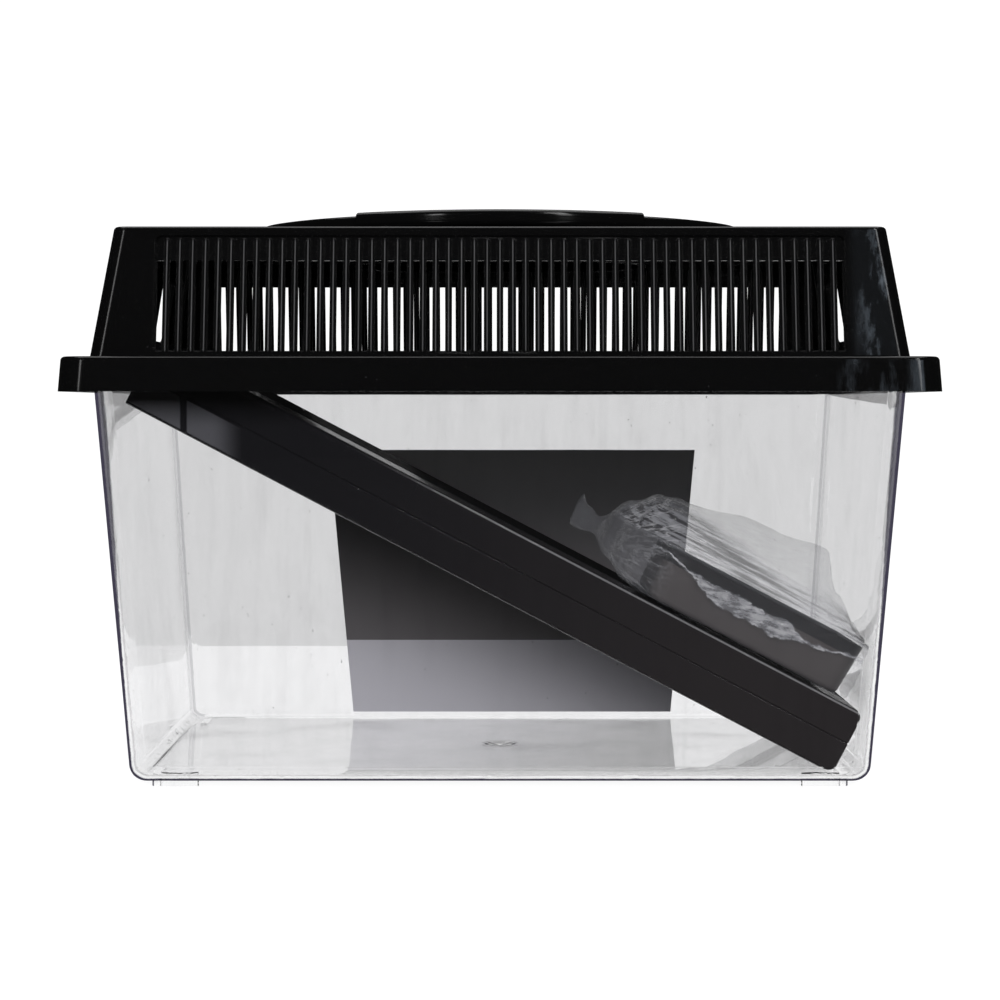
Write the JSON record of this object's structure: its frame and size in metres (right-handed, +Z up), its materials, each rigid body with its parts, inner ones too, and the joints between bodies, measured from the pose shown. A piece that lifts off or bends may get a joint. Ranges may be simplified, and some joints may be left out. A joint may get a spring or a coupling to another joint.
{
  "type": "cricket keeper box",
  "caption": "Clear tub with a black vented lid, hatch and bow handle, holding catching tubes, bagged dishes and a card.",
  "frame": {"origin": "centre of the footprint, at the soles of the feet", "axes": "+X along the box's length, +Y from front to back, +Z up"},
  "size_m": [0.3034, 0.2016, 0.2033],
  "materials": {
    "clear_plastic": "clear, glossy",
    "black_gloss": "gloss moulded",
    "black_satin": "satin moulded",
    "dish_plastic": "satin moulded",
    "bag_film": "thin clear film",
    "card_print": "printed, semi-matte"
  },
  "bodies": {
    "tub": {"tub": "clear_plastic"},
    "lid": {"lid": "black_gloss"},
    "hatch_door": {"hatch_door": "black_gloss"},
    "handle": {"handle": "black_gloss"},
    "tube_1": {"tube_1_upper": "black_satin", "tube_1_lower": "black_satin"},
    "tube_2": {"tube_2_upper": "black_satin", "tube_2_lower": "black_satin"},
    "tube_3": {"tube_3_upper": "black_satin", "tube_3_lower": "black_satin"},
    "tube_4": {"tube_4_upper": "black_satin", "tube_4_lower": "black_satin"},
    "dishes": {"dish_bag": "bag_film", "food_dish": "dish_plastic", "water_dish": "dish_plastic"},
    "card": {"card": "card_print"}
  },
  "joints": [
    {"name": "lid_lift", "type": "slide", "parent": "tub", "child": "lid", "axis": [0, 0, 1], "range_m": [0, 0.3]},
    {"name": "hatch_swing", "type": "hinge", "parent": "lid", "child": "hatch_door", "pos_m": [0, 0.038, 0.1989], "axis": [-1, 0, 0], "range_deg": [0, 110]},
    {"name": "handle_swing", "type": "hinge", "parent": "lid", "child": "handle", "pos_m": [0, 0, 0.1996], "axis": [-1, 0, 0], "range_deg": [0, 179]},
    {"name": "tube_1_lift", "type": "slide", "parent": "tub", "child": "tube_1", "axis": [0, 0, 1], "range_m": [0, 0.16]},
    {"name": "tube_2_lift", "type": "slide", "parent": "tub", "child": "tube_2", "axis": [0, 0, 1], "range_m": [0, 0.16]},
    {"name": "tube_3_lift", "type": "slide", "parent": "tub", "child": "tube_3", "axis": [0, 0, 1], "range_m": [0, 0.16]},
    {"name": "tube_4_lift", "type": "slide", "parent": "tub", "child": "tube_4", "axis": [0, 0, 1], "range_m": [0, 0.16]},
    {"name": "dishes_lift", "type": "slide", "parent": "tub", "child": "dishes", "axis": [0, 0, 1], "range_m": [0, 0.18]},
    {"name": "card_lift", "type": "slide", "parent": "tub", "child": "card", "axis": [0, 0, 1], "range_m": [0, 0.15]}
  ],
  "couplings": [
    {"joint": "tube_1_lift", "follows": "lid_lift", "ratio": 0.52},
    {"joint": "tube_2_lift", "follows": "lid_lift", "ratio": 0.52},
    {"joint": "tube_3_lift", "follows": "lid_lift", "ratio": 0.52},
    {"joint": "tube_4_lift", "follows": "lid_lift", "ratio": 0.52},
    {"joint": "dishes_lift", "follows": "lid_lift", "ratio": 0.6},
    {"joint": "card_lift", "follows": "lid_lift", "ratio": 0.5}
  ]
}
